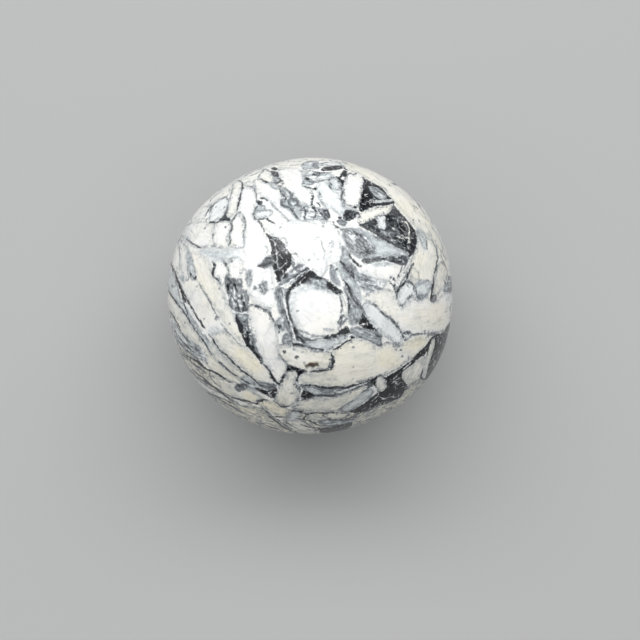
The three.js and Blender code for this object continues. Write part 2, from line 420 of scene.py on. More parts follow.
EAST: tuple[Mark, ...] = (
    Patch(MILK, "363,298 370,293 380,290 393,291 397,299 402,307 407,301 411,297 416,298 421,300 427,296"
                " 431,302 435,302 441,295 448,292 454,296 452,320 447,328 440,332 430,333 420,334 411,335"
                " 403,334 397,326 390,318 382,312 375,305", 0.5),
    Patch(CREAM, "404,312 416,305 432,307 446,303 451,310 448,322 438,328 424,330 410,330 402,322", 0.0, 2.0),
    Patch(ICE, "363,306 367,303 373,304 380,310 388,317 395,323 401,332 403,338 400,344 396,344 390,339"
               " 382,334 376,330 369,321 364,312", 0.55),
    Patch(SNOW, "403,337 404,333 408,332 411,335 409,339 405,340", 1.0),
    Patch(GRAPHITE, "360,310 364,313 368,320 373,327 378,332 372,330 364,328 359,324 357,317", 0.0),
    Patch(STEEL, "351,329 358,327 366,329 375,331 381,334 381,347 374,344 366,340 357,338 352,334", 0.4),
    Patch(CREAM, "333,352 338,347 346,343 356,340 367,341 378,346 389,343 398,346 402,344 410,340 422,337"
                 " 436,334 432,342 425,348 416,356 408,361 400,367 392,371 384,376 376,377 368,380 356,383"
                 " 344,387 330,388 312,386 299,385 300,378 303,374 318,372 330,369 333,361", 0.7),
    Patch(HONEY, "404,341 414,337 426,336 424,344 412,350 404,350", 0.0, 2.0),
    Patch(HONEY, "378,352 392,350 402,360 392,368 380,366", 0.0, 2.2),
    Patch(DOVE, "299,385 300,377 306,374 322,374 336,376 340,383 326,387 312,386", 0.0, 1.2),
    Patch(CREAM, "279,346 284,345 296,345.5 308,349 320,351 328,352 331,357 332,363 329,368 320,370"
                 " 308,371.5 300,370 290,366 281,360 276,356 274,351", 0.9),
    Patch(RUST, "304,363 307,365 310,362 314,363 318,362 319,366 315,366 313,368 310,366 306,368", 0.0, 0.5),
    Patch(GRAPHITE, "286,365 291,366 297,368 304,370 303,373 299,377 298,382 296,381 297,374 292,371"
                    " 287,371", 0.0),
    Patch(GRAPHITE, "450,322 449,334 446,346 441,357 436,367 430,376 425,381 420,380 421,372 425,362"
                    " 427,352 424,356 418,360 413,359 419,352 426,346 431,338 437,334 444,332 447,326", 0.0),
    Patch(DOVE, "432,340 435,338 434,348 431,358 428,366 425,378 422,376 424,364 428,352", 0.2),
    Patch(TAN, "454,322 450,335 446,348 441,358 446,358 452,346 456,332", 0.2),
    Patch(GRAPHITE, "371,381 376,376 385,377 390,374 397,371 403,366 411,361 421,357 424,358 418,362"
                    " 409,367 403,372 402,378 405,382 408,388 404,394 398,399 388,402 378,405 366,410"
                    " 357,413 350,412 358,407 366,402 373,396 378,392 376,387", 0.0),
    Patch(DOVE, "376,380 380,375 385,379 387,386 384,391 379,391 376,386", 0.8),
    Patch(DOVE, "402,373 410,367 418,359 424,356 423,366 420,376 415,384 409,384 404,380", 0.3, 0.8),
    Patch(TAN, "404,392 409,385 414,382 420,379 428,381 420,394 408,405 396,413 380,421 362,428 345,434"
               " 350,424 358,417 366,412 378,406 390,403 399,399", 0.4),
    vein("360,326 363,324 366,325", 2),
    vein("415,361 419,359 423,356", 2.5),
    vein("403,370 408,365 411,362", 2.2),
    vein("360,408 366,405 372,401 378,396 379,390", 2),
    vein("379,396 384,399 389,397 397,397", 1.8),
    vein("393,384 394,379 398,374", 1.6),
    crack("412,335 420,334 436,333", 1.5, 0.6),
    crack("381,334 381,348", 1.4, 0.5),
    crack("372,303 378,308 384,315 391,319 397,326 402,334", 1.6, 0.65),
    crack("331,352 333,358 333,364 330,369 320,370.5 309,372", 2, 0.85),
    Dots(UMBER, "284,352 297,357", 1.8),
    Dots(ASH, "396,350 401,350 409,357 425,331 427,333", 1.6),
)

SOUTH: tuple[Mark, ...] = (
    Patch(GRAPHITE, "300,391 306,391.5 312,393.5 315,396 308,398 302,398", 0.0),
    Patch(FROST, "305,387 312,388 318,390 322,393 316,395 309,391", 0.3),
    Patch(STEEL, "323,390 330,389 335,391 335,395 327,396 322,394", 0.4),
    Patch(PUMICE, "338,390 346,388 352,389 350,392 343,394 338,393", 0.3),
    Patch(SMOKE, "354,390 362,386 370,382 373,385 366,390 358,394 352,397", 0.3),
    Patch(DOVE, "284,376 287,372 292,369.5 297,372 295,379 295,384 299,388 300,394 298,400 295,404 289,406"
                " 282,406 278,403 275,399 276,393 279,387 281,381", 0.9),
    Patch(DOVE, "291,407 297,404 303,400 316,398 335,397 345,393 356,389 364,385 368,387 362,394 354,401"
                " 346,406 338,411 325,411 311,411 300,410", 0.7),
    Patch(FROST, "338,411 346,405 354,400 362,393 370,389 374,391 369,398 360,405 350,411", 0.6),
    Patch(DOVE, "307,415 312,413 318,417 322,419 314,420", 0.4),
    Patch(GRAPHITE, "318,429 331,427 344,424 353,423 346,429 334,432 324,433", 0.0),
    crack("300,385 310,385 320,387 330,388 337,386.5 345,388 352,386 360,384 367,381 370,377", 2.2, 0.85),
    crack("313,395 324,395.5 335,395", 1.6, 0.8),
    crack("290,411 298,411 305,412", 1.8, 0.75),
    crack("340,414 348,413", 1.8, 0.7),
    crack("326,419 338,420 350,418", 1.6, 0.7),
    crack("306,415 304,419 310,421 318,423", 2, 0.8),
    crack("293,418 300,419 306,420", 1.5, 0.6),
    crack("352,411 362,407 372,401", 2.5, 0.9),
    crack("306,418 312,422 318,425 324,428", 2, 0.8),
    crack("322,423 332,423 342,421 352,417 360,412", 1.5, 0.6),
    crack("332,431 344,428 356,424 368,420", 1.8, 0.7),
    crack("286,422 296,428 308,432", 1.6, 0.6),
    Dots(SMOKE, "336.5,414 322,417", 1.5),
    crack("300,424 308,427 318,428 330,430 342,428", 2.6, 0.9),
    crack("314,436 326,437 338,434 350,429 362,424", 3.0, 0.95),
    crack("356,414 366,411 378,406 390,402 400,396", 2.6, 0.95),
    crack("398,408 408,401 416,394 424,386", 2.6, 0.9),
    crack("372,420 384,414 396,407", 2.2, 0.85),
    crack("452,342 450,354 444,366 437,377 430,385", 3.0, 0.9),
    crack("296,411 306,414 316,413 328,413 340,412", 1.8, 0.8),
    Patch(SMOKE, "330,429 342,425 352,422 360,419 352,426 340,431", 0.0, 0.4),
    vein("333,391 340,392 346,390 352,388 358,386 367,382.5", 2.5),
    vein("313,397.5 322,397.5 333,398", 1.5),
    vein("300.5,386 301.5,391 300,396 300,401 296,404", 2.6),
    vein("277.5,385 278,391", 2),
    vein("274,393 276,392", 1.5),
    vein("287,409 288,413", 1.5),
)

HEART: tuple[Mark, ...] = (
    Patch(SNOW, "264,226 275,223 290,222 316,222 330,222 336,227 339,232 337,240 331,243 330,250 329,262"
                " 325,272 320,277 314,272 308,269 300,259 290,252 285,245 286,239 277,237 268,233", 0.4),
    Patch(PUMICE, "338,256 346,257 352,264 355,274 358,288 361,300 360,314 352,327 347,316 347,300"
                  " 344,284", 0.0, 0.7),
    Patch(SNOW, "331,248 334,243 338,241 341,244 341,255 339,263 336,268 332,265 330,257", 0.5),
    Patch(STEEL, "341,246 345,247 349,253 351,258 346,260 342,258", 0.5),
    Patch(GRAPHITE, "265,229 268,235 273,236 278,238 283,243 287,247 290,252 292,258 291,266 287,270"
                    " 283,276 280,282 277,281 276,275 273,268 271,258 271,246 268,238", 0.0),
    Patch(SMOKE, "274,238 280,241 286,248 289,253 284,254 278,248", 0.0, 0.6),
    Patch(SMOKE, "273,256 266,257 262,262 258,266 263,268 270,266 276,263", 0.1, 0.6),
    Patch(SNOW, "292,256 296,254 300,260 299,265 294,268 292,263", 0.8),
    Patch(STEEL, "278,284 286,276 293,268 302,264 308,268 303,275 292,282 281,287", 0.4),
    Patch(SNOW, "289,273 298,269 305,266 304,269 296,273 291,275", 0.4),
    Patch(SMOKE, "281,281 288,277 286,272 280,277", 0.0),
    Patch(GRAPHITE, "293,277 300,273 307,268 309,270 302,275 295,279", 0.0),
    Patch(GRAPHITE, "286,300 287,292 290,286 297,280 303,275 308,271 313,270 317,274 322,277 328,281"
                    " 333,285 339,289 343,293 338,294 332,291 327,288 324,282 317,281 313,287 308,285"
                    " 303,284 296,288 291,294 289,301", 0.0, 0.5),
    Patch(SNOW, "289,300 294,290 302,286 308,286 313,284 318,287 326,290 334,293 341,295 345,303 347,312"
                " 342,319 338,327 333,334 322,337 309,338 301,332 296,323 292,312", 0.35, 1.3),
    Patch(FROST, "288,304 292,293 301,286 312,284 324,288 320,291 309,290 300,294 295,302 294,313 297,323"
                 " 291,315", 0.0, 1.8),
    Patch(STEEL, "308,279 316,279 326,280 334,288 340,294 330,292 320,289 312,288 307,284", 0.0, 1.1),
    Patch(GRAPHITE, "336,334 341,330 345,327 348,327 350,332 346,335 341,334", 0.0),
    Patch(GRAPHITE, "349,337 353,335 356,338 352,339", 0.0),
    Patch(FROST, "303,342 310,340 322,340 334,338 343,335 349,333 348,338 342,343 335,347 326,350 315,351"
                 " 308,347", 0.7),
    Patch(GRAPHITE, "293,327 297,328 298,334 293,334", 0.0),
    Patch(SMOKE, "281,309 286,308 287,314 282,315", 0.0),
    Patch(STEEL, "275,288 280,296 282,305 280,312 277,306 275,296", 0.3),
    Patch(STEEL, "276,320 283,316 286,322 285,330 280,330 277,326", 0.3),
    Patch(STEEL, "282,338 286,334 291,335 294,339 292,343 286,344 282,341", 0.8),
    Patch(MILK, "249,306 256,306 262,309 268,311 272,319 276,325 278,333 277,342 278,350 281,358 287,366"
                " 284,374 280,382 275,382 271,373 266,363 260,354 256,345 253,333 250,320", 0.7),
    Patch(MILK, "260,334 268,334 276,340 276,348 274,357 281,362 284,370 278,380 271,371 264,360"
                " 258,346", 0.0, 1.6),
    Patch(PEPPER, "247,272 252,270 252,276 253,280 250,286 247,283 246,277", 0.0, 0.9),
    Patch(PEPPER, "258,285 263,282 267,285 268,290 264,294 259,291", 0.0, 0.9),
    Patch(PEPPER, "344,290 350,286 355,291 358,298 362,306 366,315 361,318 356,312 350,306"
                  " 347,299", 0.3, 0.4),
    Patch(STEEL, "350,304 358,306 362,314 360,322 353,325 349,318", 0.3, 0.6),
    Patch(GRAPHITE, "341,278 345,280 350,285 354,290 350,290 345,284", 0.0),
    Patch(FROST, "339,263 343,270 349,277 354,283 359,291 362,300 358,300 353,292 348,284 342,277"
                 " 338,270", 0.4, 0.4),
    Patch(STEEL, "331,266 335,270 338,278 340,285 336,285 332,280 330,273", 0.3, 0.6),
    Patch(GRAPHITE, "327,282 331,283 337,288 342,293 338,294 332,291 328,288", 0.0),
    Patch(ASH, "343,262 350,262 356,268 358,276 352,276 346,270", 0.1, 0.7),
    crack("314,240 318,237 321,240 323,247 325,253 323,259", 1.2, 0.4),
    crack("313,242 313,250 315,257 320,260", 1, 0.25),
    crack("300,334 306,338 313,340 322,338", 1.6, 0.5),
    crack("322,338 330,337 338,334 345,331 349,329", 3, 0.9),
    crack("307,347 314,349 325,350", 1.5, 0.7),
    crack("333,350 341,346 347,341 352,339", 2, 0.85),
    crack("288,291 287,300 289,309 290,318 293,324", 2.2, 0.75),
    crack("296,337 300,338 305,344", 2.5, 0.95),
    crack("292,343 298,344.5 305,346", 2, 0.9),
    crack("250,304 256,306 261,309 267,310 270,314 273,319 276,324", 1.8, 0.6),
    crack("279,330 279,334", 2, 0.7),
    crack("270,372 274,380 279,384 283,379 284,374", 2.4, 0.9),
    crack("348,298 349,306 349,314", 2.5, 0.7),
    crack("340,261 345,267 349,272 354,279", 2, 0.8),
    crack("348,254 354,261 360,267", 2.2, 0.8),
    crack("351,270 355,278", 2, 0.7),
    vein("271,239 275,243 276,250 277,258 278,269", 1.4),
    vein("278,270 284,265 288,262", 1.2),
    vein("278,288 286,284 294,279 302,273 309,269", 1.8),
    vein("283,288 284,296 285,304 287,312 289,320 292,328 294,336 297,341 304,345", 1.9),
    vein("316,350.5 324,350.5 330,350", 1.5),
    vein("343,290 346,298 347,306 346,314 343,321", 1.8, 0.8),
    crack("340,296 342,306 341,316 337,324", 1.8, 0.65),
    crack("297,329 306,333 316,336 326,335", 1.5, 0.4),
    Patch(PUMICE, "322,327 327,329 333,329 336,332 330,332 324,331", 0.0),
    Patch(PEPPER, "340,318 344,314 347,319 343,325 339,328", 0.0),
    vein("333,348 340,345 346,339 350,334", 2),
    Dots(GRAPHITE, "279,327 335,337", 2.0),
    Dots(ASH, "255,288", 2.5),
    Dots(SMOKE, "331,266 337,269 361,266", 1.8),
)

TRACED: tuple[Mark, ...] = (*BROAD, *SHEAF, *NORTH_WEST, *NORTH, *NORTH_EAST, *EAST, *SOUTH, *HEART)


@dataclass(frozen=True)
class Ball:
    """The ground ball, in millimetres: the same shape as the solid, as a finer mesh."""

    length: float = 72.8
    breadth: float = 70.4
    full_height: float = 67.2
    long_axis_heading: float = math.radians(4.6)
    flat_depth: float = 1.2
    flat_rounding: float = 0.5
    facet_height: float = 0.06
    facets_per_turn: tuple[float, float, float] = (5.0, 6.0, 5.5)
    facet_phases: tuple[float, float, float] = (1.0, 2.0, 0.0)
    swellings: tuple[tuple[int, float, float], ...] = (
        (3, 0.09, 54.0), (4, 0.21, -34.5), (5, 0.14, 27.0), (6, 0.11, 28.5))
    box_middle: tuple[float, float, float] = (-0.19, 0.06, -0.03)
    mean_radius: float = 36.0
    face_splits: int = 99

    def radius(self, way: Points) -> Points:
        """How far the surface is from the middle of the ball.

        Args:
            way: unit directions, one row each.

        Returns:
            One distance in millimetres for each direction.
        """
        x, y, z = way.T
        turn = -self.long_axis_heading
        along = x * math.cos(turn) - y * math.sin(turn)
        across = x * math.sin(turn) + y * math.cos(turn)
        sizes = (self.length, self.breadth, self.full_height)
        radius = 1 / np.sqrt(sum((2 * part / size) ** 2 for part, size in zip((along, across, z), sizes)))
        heading, girth = np.arctan2(y, x), np.hypot(x, y)
        for count, height, first in self.swellings:
            radius = radius + height * girth**count * np.cos(count * (heading - math.radians(first)))
        facets = self.facet_height
        for part, turns, phase in zip((x, y, z), self.facets_per_turn, self.facet_phases):
            facets = facets * np.sin(turns * part + phase)
        radius = radius + facets
        plane = (self.full_height / 2 - self.flat_depth) / np.maximum(-z, 1e-6)
        overlap = np.maximum(self.flat_rounding - np.abs(radius - plane), 0) / self.flat_rounding
        return np.minimum(radius, plane) - overlap**2 * self.flat_rounding / 4

    def mesh(self) -> tuple[Points, Points]:
        """Splits an icosahedron evenly.

        Returns:
            Unit directions of the vertices, and the triangles' vertex numbers.
        """
        gold, side, places = (1 + math.sqrt(5)) / 2, 2.0, 1e5
        corners = np.array([(s, t * gold, 0) for s in (-1, 1) for t in (-1, 1)], float)
        corners = np.concatenate([corners, corners[:, [2, 0, 1]], corners[:, [1, 2, 0]]])
        gaps = np.linalg.norm(corners[:, None] - corners[None], axis=2)
        near = (gaps > 0) & (gaps < 1.01 * side)
        faces = [(i, j, k) for i in range(12) for j in range(i + 1, 12) for k in range(j + 1, 12)
                 if near[i, j] and near[j, k] and near[i, k]]
        steps = self.face_splits
        points, triangles = [], []
        rows = [(i, j) for i in range(steps + 1) for j in range(steps + 1 - i)]
        number = {pair: n for n, pair in enumerate(rows)}
        small = [(number[i, j], number[i + 1, j], number[i, j + 1])
                 for i in range(steps) for j in range(steps - i)]
        small += [(number[i + 1, j], number[i + 1, j + 1], number[i, j + 1])
                  for i in range(steps) for j in range(steps - i - 1)]
        weights = np.array([(steps - i - j, i, j) for i, j in rows]) / steps
        small_triangles = np.array(small)
        for face in faces:
            triangle = corners[list(face)]
            if np.dot(np.cross(triangle[1] - triangle[0], triangle[2] - triangle[0]), triangle.sum(0)) < 0:
                triangle = triangle[[0, 2, 1]]
            triangles.append(small_triangles + sum(map(len, points)))
            points.append(self.spread(weights, triangle))
        found = np.concatenate(points)
        keys = np.round(found * places).astype(np.int64)
        _, first, same = np.unique(keys, axis=0, return_index=True, return_inverse=True)
        return found[first], same.reshape(-1)[np.concatenate(triangles)]

    @staticmethod
    def spread(weights: Points, triangle: Points) -> Points:
        """Lays the split triangle's points on the unit ball."""
        flat = weights @ (triangle / np.linalg.norm(triangle[0]))
        return flat / np.linalg.norm(flat, axis=1, keepdims=True)


@dataclass(frozen=True)
class Chart:
    """A flat map of the ball's surface round one direction, true to distance from its middle."""

    middle: tuple[float, float, float]
    right: tuple[float, float, float]
    up: tuple[float, float, float]
    radius: float = Ball.mean_radius

    def flatten(self, way: Points) -> Points:
        """Lays directions on the map.

        Args:
            way: unit directions, one row each.

        Returns:
            Points on the map, in millimetres.
        """
        height = np.clip(way @ np.array(self.middle), -1, 1)
        x, y = way @ np.array(self.right), way @ np.array(self.up)
        reach = self.radius * np.arccos(height) / np.maximum(np.hypot(x, y), 1e-9)
        return np.stack([x * reach, y * reach], 1)


@dataclass(frozen=True)
class Viewpoint:
    """Where the picture was taken from: pixels of the picture, lengths in millimetres."""

    elevation: float = math.radians(75)
    distance: float = 300.0
    lens: float = 66.2
    sensor: float = 36.0
    picture: float = 640.0
    aside: float = 2.55
    below: float = 6.12
    past_the_rim: float = 0.139
    nearer: float = 40.0
    farther: float = 10.0
    samples: int = 201
    clip: tuple[float, float] = (0.01, 20.0)

    @property
    def back(self) -> Points:
        """The direction from the stone to the camera."""
        return np.array([0.0, -math.cos(self.elevation), math.sin(self.elevation)])

    @property
    def up(self) -> Points:
        """The picture's upward direction."""
        return np.array([0.0, math.sin(self.elevation), math.cos(self.elevation)])

    def chart(self) -> Chart:
        """The map round the line of sight."""
        return Chart(tuple(self.back), (1.0, 0.0, 0.0), tuple(self.up))

    def trace(self, text: str, ball: Ball) -> Points:
        """Brings traced pixels onto the map round the line of sight, each along its own ray.

        Args:
            text: "x,y x,y ..." in picture pixels.
            ball: the ball that the rays meet.

        Returns:
            Points on the chart, in millimetres.
        """
        pixels = np.array([pair.split(",") for pair in text.split()], float)
        from_middle = np.stack([pixels[:, 0], -pixels[:, 1]]) / self.picture + [[-0.5], [0.5]]
        x, y = from_middle * self.sensor / self.lens
        ray = x[:, None] * np.array([1.0, 0.0, 0.0]) + y[:, None] * self.up - self.back
        ray /= np.linalg.norm(ray, axis=1, keepdims=True)
        target = np.array(ball.box_middle) + (self.aside, 0.0, 0.0) - self.below * self.up
        eye = target + self.distance * self.back
        along = np.linspace(self.distance - self.nearer, self.distance + self.farther, self.samples)
        spots = eye + along[None, :, None] * ray[:, None]
        far = np.linalg.norm(spots, axis=2)
        gap = far - ball.radius((spots / far[..., None]).reshape(-1, 3)).reshape(far.shape)
        rows, first = np.arange(len(ray)), np.maximum((gap < 0).argmax(1), 1)
        missed = gap.min(1) >= 0
        share = gap[rows, first - 1] / (gap[rows, first - 1] - gap[rows, first])
        reach = np.where(missed, along[gap.argmin(1)], along[first - 1] + share * (along[1] - along[0]))
        way = eye + reach[:, None] * ray
        way /= np.linalg.norm(way, axis=1, keepdims=True)
        way -= np.tan(np.where(missed, gap.min(1), 0) * self.past_the_rim)[:, None] * self.back
        return self.chart().flatten(way / np.linalg.norm(way, axis=1, keepdims=True))

    def pixel_size(self) -> float:
        """Millimetres of the stone's face to one pixel of the picture."""
        return self.sensor / self.lens * (self.distance - Ball.mean_radius) / self.picture

    def place_camera(self, stone_middle: Vector) -> None:
        """Puts the camera where the picture was taken.

        Args:
            stone_middle: the middle of the ball, in metres.
        """
        camera = bpy.data.objects.new("camera", bpy.data.cameras.new("camera"))
        camera.data.lens, camera.data.sensor_width = self.lens, self.sensor
        camera.data.clip_start, camera.data.clip_end = self.clip
        right, up, back = Vector((1, 0, 0)), Vector(self.up), Vector(self.back)
        target = stone_middle + (self.aside * right - self.below * up) * MM
        camera.location = target + back * self.distance * MM
        camera.rotation_mode = "QUATERNION"
        camera.rotation_quaternion = back.to_track_quat("Z", "Y")
        bpy.context.collection.objects.link(camera)
        bpy.context.scene.camera = camera


def rounded(points: Points, closed: bool, steps: int = 4, bend: float = 0.36) -> Points:
    """Bends a traced line smoothly through its points.

    Args:
        points: the traced points.
        closed: whether the last point joins the first.
        steps: how many pieces lie between two points.
        bend: how round the corners are.

    Returns:
        The smoother line.
    """
    if not closed:
        points = np.concatenate([points[:1], points, points[-1:]])
        first, before, after, last = points[:-3], points[1:-2], points[2:-1], points[3:]
    else:
        first, before, after, last = (np.roll(points, by, 0) for by in (1, 0, -1, -2))
    leave, arrive = (after - first) * bend, (last - before) * bend
    parts = []
    for share in np.arange(steps) / steps:
        cube, square = share**3, share**2
        parts.append((2 * cube - 3 * square + 1) * before + (cube - 2 * square + share) * leave
                     + (3 * square - 2 * cube) * after + (cube - square) * arrive)
    line = np.stack(parts, 1).reshape(-1, 2)
    return line if closed else np.concatenate([line, points[-1:]])


def nearest(at: Points, line: Points, closed: bool) -> tuple[Points, Points, Points]:
    """Finds the nearest place on a line.

    Args:
        at: points on a chart.
        line: the line's points.
        closed: whether the last point joins the first.

    Returns:
        The distance, the side (1 is left, -1 is right) and the share of the way along the line.
    """
    start = line if closed else line[:-1]
    step = np.roll(line, -1, 0) - line if closed else line[1:] - line[:-1]
    from_start = at[:, None] - start[None]
    length2 = np.maximum((step**2).sum(1), 1e-12)
    share = np.clip((from_start * step).sum(2) / length2, 0, 1)
    gap = from_start - share[..., None] * step
    distance = np.hypot(gap[..., 0], gap[..., 1])
    best = distance.argmin(1)
    rows = np.arange(len(at))
    cross = step[best, 0] * from_start[rows, best, 1] - step[best, 1] * from_start[rows, best, 0]
    along = (best + share[rows, best]) / len(start)
    return distance[rows, best], np.where(cross >= 0, 1.0, -1.0), along


def inside(at: Points, line: Points) -> Points:
    """Tells which points a closed line goes round.

    Args:
        at: points on a chart.
        line: the line's points.

    Returns:
        True or False for each point.
    """
    a, b = line, np.roll(line, -1, 0)
    rises = (a[None, :, 1] > at[:, None, 1]) != (b[None, :, 1] > at[:, None, 1])
    slope = (b[:, 0] - a[:, 0]) / np.where(b[:, 1] == a[:, 1], 1e-12, b[:, 1] - a[:, 1])
    crossing = a[:, 0] + (at[:, None, 1] - a[:, 1]) * slope
    return (rises & (at[:, None, 0] < crossing)).sum(1) % 2 == 1


@dataclass
class Face:
    """The pattern on the ball, as a few layers of distances to outlines, held at the mesh's vertices.

    Lengths are in millimetres. A vertex deeper than held_depth inside an outline belongs to it, in an outline
    too thin for that one nearer than thin_reach. Outlines in one layer keep kept_apart and free_of clear.
    """

    way: Points
    clear: float = 3.0
    reach: float = 1.5
    stroke_reach: float = 0.8
    held_depth: float = 0.1
    thin_reach: float = 0.15
    kept_apart: float = 0.4
    free_of: float = 0.5
    grain_step: float = 3.7
    bare_tone: float = 0.5
    no_width: float = -0.3
    end_width: float = 0.45
    end_taper: float = 3.0
    ink_strength: float = 0.2
    calcite_width: float = 0.7
    ink_width: float = 0.5
    layers: list[Points] = field(default_factory=list)
    strokes: list[Points] = field(default_factory=list)
    most_layers: int = 16
    most_strokes: int = 8

    def __post_init__(self) -> None:
        """Starts with bare graphite."""
        count = len(self.way)
        self.top = np.full(count, -1)
        self.grain = self.way * Ball.mean_radius
        self.finish = np.tile(GRAPHITE.finish, (count, 1))
        self.edge = np.zeros(count, bool)

    def box(self, at: Points, line: Points, margin: float) -> Points:
        """The numbers of the vertices near a line."""
        low, high = line.min(0) - margin, line.max(0) + margin
        return np.nonzero(((at > low) & (at < high)).all(1))[0]

    def lay_patch(self, at: Points, line: Points, mineral: Mineral, seam: float, number: int,
                  blur: float = Patch.blur) -> None:
        """Paints one closed outline over what is there.

        Args:
            at: the vertices on the outline's chart.
            line: the outline on that chart.
            mineral: what is inside it.
            seam: how dark the seam round it is.
            number: a number that sets its grain apart from its neighbours'.
            blur: how softly it runs into what it lies on.
        """
        near = self.box(at, line, self.reach)
        if len(near):
            distance, _, _ = nearest(at[near], line, True)
            signed = np.where(inside(at[near], line), -distance, distance)
            self.settle(near, signed, at[near], line, mineral, seam, number, blur)

    def settle(self, near: Points, signed: Points, at: Points, line: Points, mineral: Mineral, seam: float,
               number: int, blur: float = Patch.blur) -> None:
        """Puts signed distances into the lowest layer that keeps the order of painting.

        Args:
            near: the numbers of the vertices that the mark may touch.
            signed: their signed distances to its outline.
            at: those vertices on the chart.
            line: the outline on the chart.
            mineral: what is inside it.
            seam: how dark the seam round it is.
            number: a number that sets its grain apart.
            blur: how softly it runs into what it lies on.
        """
        held = signed < -self.held_depth
        if not held.any():
            held = signed < self.thin_reach
        if not held.any():
            return
        lowest = self.top[near[held]].max() + 1
        close = signed < self.kept_apart + blur / 2
        for layer in range(lowest, self.most_layers):
            while len(self.layers) <= layer:
                bare = (self.clear, self.bare_tone, 0.0, Patch.blur)
                self.layers.append(np.tile(bare, (len(self.way), 1)))
            stored = self.layers[layer]
            if (stored[near[close], 0] > self.free_of).all():
                break
        else:
            log.warning("no layer left for a %s patch near %s", mineral.name, line.mean(0).round(1))
            return
        better = signed < stored[near, 0]
        stored[near[better], 0] = signed[better]
        stored[near[better], 1:] = mineral.tone, seam, blur
        self.top[near[held]] = layer
        middle = line.mean(0)
        _, _, axes = np.linalg.svd(line - middle, full_matrices=False)
        local = (at[held] - middle) @ axes.T
        own = np.full((held.sum(), 1), self.grain_step * number)
        self.grain[near[held]] = np.concatenate([local, own], 1)
        self.finish[near[held]] = mineral.finish

    def soften(self, triangles: Points, rounds: int = 3) -> None:
        """Lets the finish of neighbouring crystals run together a little.

        Args:
            triangles: the mesh's vertex numbers.
            rounds: how often each vertex takes half its value from those round it.
        """
        start, end = triangles.ravel(), np.roll(triangles, -1, 1).ravel()
        count = np.bincount(start, minlength=len(self.way))
        for _ in range(rounds):
            around = [np.bincount(start, column[end], len(count)) / count for column in self.finish.T]
            self.finish = (self.finish + np.stack(around, 1)) / 2

    def lay_dots(self, at: Points, middles: Points, radius: float, mineral: Mineral, number: int) -> None:
        """Paints round spots.

        Args:
            at: the vertices on the spots' chart.
            middles: the spots' middles on that chart.
            radius: their radius in millimetres.
            mineral: what they are.
            number: a number that sets their grain apart.
        """
        for middle in middles:
            near = self.box(at, middle[None], self.reach + radius)
            if len(near):
                signed = np.hypot(*(at[near] - middle).T) - radius
                ring = middle + radius * np.array([(1, 0), (0, 0.8), (-1, 0), (0, -0.8)])
                self.settle(near, signed, at[near], ring, mineral, 0.0, number)

    def lay_stroke(self, at: Points, line: Points, stroke: Stroke, width: float) -> None:
        """Draws a thin line over the patches.

        Args:
            at: the vertices on the line's chart.
            line: the line on that chart.
            stroke: what it looks like.
            width: its full width in millimetres.
        """
        near = self.box(at, line, 2 * self.stroke_reach)
        if not len(near):
            return
        distance, side, along = nearest(at[near], line, False)
        kept = distance < 2 * self.stroke_reach
        near, distance, side, along = near[kept], distance[kept], side[kept], along[kept]
        ends = np.minimum(along, 1 - along)
        taper = np.clip(self.end_width + self.end_taper * ends, 0, 1)
        strength = min(stroke.strength * (1 + self.ink_strength * stroke.ink), 1.0)
        width = width * (self.calcite_width + self.ink_width * stroke.ink)
        half = np.where((ends > 1e-4) & (distance < self.stroke_reach), width / 2 * taper, self.no_width)
        for drawn in range(self.most_strokes):
            if len(self.strokes) <= drawn:
                self.strokes.append(np.tile([self.clear, self.no_width, 0.0, 0.0], (len(self.way), 1)))
            stored = self.strokes[drawn]
            if (stored[near, 0] >= self.clear).all():
                break
        else:
            log.warning("no room for a stroke near %s", line.mean(0).round(1))
            return
        stored[near, :2] = np.stack([side * distance, half], 1)
        stored[near, 2:] = strength, stroke.ink


@dataclass(frozen=True)
class Sheaf:
    """A group of blades that grew one way, on the side of the ball that the picture doesn't show."""

    middle: Points
    axis: Points


